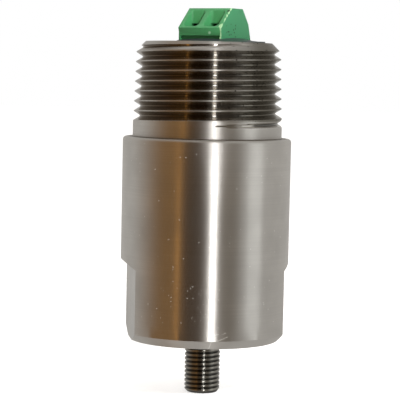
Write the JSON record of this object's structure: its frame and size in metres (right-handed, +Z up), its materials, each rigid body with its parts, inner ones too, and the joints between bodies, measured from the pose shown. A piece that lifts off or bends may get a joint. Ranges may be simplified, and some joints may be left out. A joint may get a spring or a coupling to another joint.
{
  "type": "vibration sensor",
  "caption": "Cylindrical stainless vibration sensor with a threaded base stud, wrench flats, a tapered pipe-thread conduit neck and a green screw terminal block potted into its rim.",
  "frame": {"origin": "centre of the seating face round the mounting stud", "axes": "+Z up the sensor's axis from the stud to the terminal block, -Y towards the viewer of the picture, +X to its right"},
  "size_m": [0.0381, 0.038, 0.087],
  "materials": {
    "stainless": "turned stainless steel with fine circumferential tool lines",
    "stud_steel": "dark oiled alloy steel",
    "block_plastic": "moulded green thermoplastic, satin",
    "potting_resin": "set slate-grey epoxy, satin",
    "ceramic": "fired white ceramic",
    "piezo": "fired piezo ceramic with silvered faces",
    "brass": "stamped brass",
    "heavy_alloy": "sintered heavy alloy, ground",
    "bush_plastic": "white insulating plastic",
    "tinned": "tin-plated metal, satin",
    "circuit_board": "glass-epoxy laminate with green solder resist",
    "chip_plastic": "moulded black component packages"
  },
  "bodies": {
    "sensor": {"housing": "stainless", "mounting_stud": "stud_steel", "element_insulator": "ceramic", "return_electrode": "brass", "piezo_ring_lower": "piezo", "signal_electrode": "brass", "piezo_ring_upper": "piezo", "seismic_mass": "heavy_alloy", "insulating_bush": "bush_plastic", "spring_washer": "tinned", "preload_bolt": "tinned", "signal_lead": "tinned", "return_lead": "tinned", "shield_can": "tinned", "board_standoffs": "brass", "signal_board": "circuit_board", "standoff_screws": "tinned", "board_components": "chip_plastic", "link_pins": "tinned", "terminal_board": "circuit_board", "potting": "potting_resin", "terminal_housing": "block_plastic", "terminal_contact_left": "tinned", "terminal_contact_right": "tinned"},
    "left_screw": {"clamp_screw_left": "tinned"},
    "right_screw": {"clamp_screw_right": "tinned"},
    "left_cage": {"clamp_cage_left": "tinned"},
    "right_cage": {"clamp_cage_right": "tinned"}
  },
  "joints": [
    {"name": "left_screw_turn", "type": "hinge", "parent": "sensor", "child": "left_screw", "pos_m": [-0.00077, 0.00166, 0.072], "axis": [0, 0, -1], "range_deg": [0, 1280]},
    {"name": "left_cage_lift", "type": "slide", "parent": "sensor", "child": "left_cage", "axis": [0, 0, 1], "range_m": [0, 0.0016]},
    {"name": "right_screw_turn", "type": "hinge", "parent": "sensor", "child": "right_screw", "pos_m": [0.00362, -0.00088, 0.072], "axis": [0, 0, -1], "range_deg": [0, 1280]},
    {"name": "right_cage_lift", "type": "slide", "parent": "sensor", "child": "right_cage", "axis": [0, 0, 1], "range_m": [0, 0.0016]}
  ],
  "couplings": [
    {"joint": "left_screw_turn", "follows": "left_cage_lift", "rad_per_m": 13963},
    {"joint": "right_screw_turn", "follows": "right_cage_lift", "rad_per_m": 13963}
  ]
}
